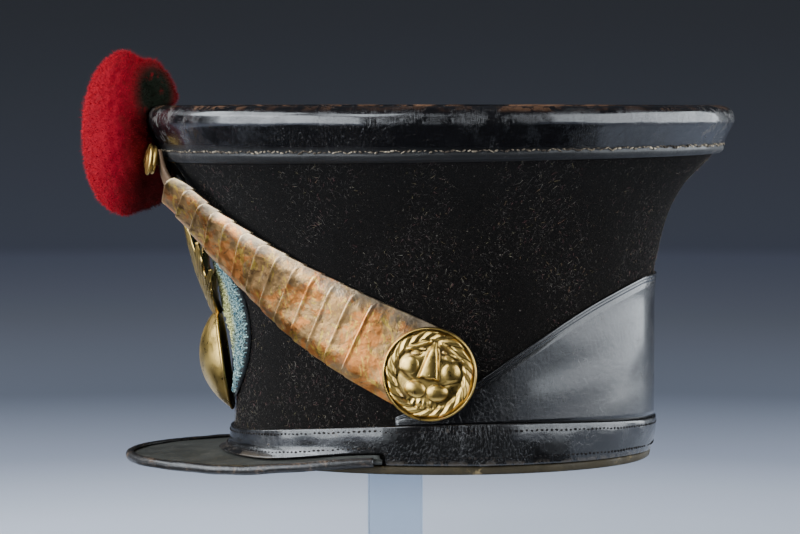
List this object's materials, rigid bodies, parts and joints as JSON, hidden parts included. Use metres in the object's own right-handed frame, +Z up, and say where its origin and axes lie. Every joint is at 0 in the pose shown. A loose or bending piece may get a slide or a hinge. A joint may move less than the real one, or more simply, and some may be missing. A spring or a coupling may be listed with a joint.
{
  "type": "shako hat on a display stand",
  "caption": "Flared felt military shako hat with black leather bands and peak, raised copper scale chin straps with lion bosses, grenade badge, cockade and red pompom, on a clear acrylic stand.",
  "frame": {"origin": "centre of the stand foot, on the surface it stands on", "axes": "+Z up, -Y towards the front of the hat (its peak), +X towards the wearer's left"},
  "size_m": [0.2702, 0.3197, 0.274],
  "materials": {
    "felt": "worn black-brown felt",
    "black_leather": "glossy, finely cracked",
    "peak_leather": "dull, scuffed",
    "brown_leather": "worn brown",
    "copper_scale": "tarnished copper-brown with yellow streaks",
    "brass": "aged satin brass",
    "blue_wool": "looped wool",
    "red_wool": "fluffy wool",
    "steel": "plain wire",
    "acrylic": "clear polished acrylic"
  },
  "bodies": {
    "root": {"felt_body": "felt", "crown": "black_leather", "top_band": "black_leather", "bottom_band": "black_leather", "rim_strip": "brown_leather", "rear_panel": "black_leather", "peak": "peak_leather", "peak_binding": "black_leather", "cockade": "blue_wool", "grenade_badge": "brass", "pompom": "red_wool", "pompom_stem": "steel", "strap_leather_left": "brown_leather", "strap_leather_right": "brown_leather", "strap_button_left": "brass", "strap_button_right": "brass", "boss_plate_left": "copper_scale", "boss_plate_right": "copper_scale", "boss_left": "brass", "boss_right": "brass", "scale_left_01": "copper_scale", "scale_right_01": "copper_scale", "scale_left_02": "copper_scale", "scale_right_02": "copper_scale", "scale_left_03": "copper_scale", "scale_right_03": "copper_scale", "scale_left_04": "copper_scale", "scale_right_04": "copper_scale", "scale_left_05": "copper_scale", "scale_right_05": "copper_scale", "scale_left_06": "copper_scale", "scale_right_06": "copper_scale", "scale_left_07": "copper_scale", "scale_right_07": "copper_scale", "scale_left_08": "copper_scale", "scale_right_08": "copper_scale", "scale_left_09": "copper_scale", "scale_right_09": "copper_scale", "scale_left_10": "copper_scale", "scale_right_10": "copper_scale", "scale_left_11": "copper_scale", "scale_right_11": "copper_scale", "scale_left_12": "copper_scale", "scale_right_12": "copper_scale", "stand_base": "acrylic", "stand_post": "acrylic", "stand_top": "acrylic"}
  },
  "joints": []
}
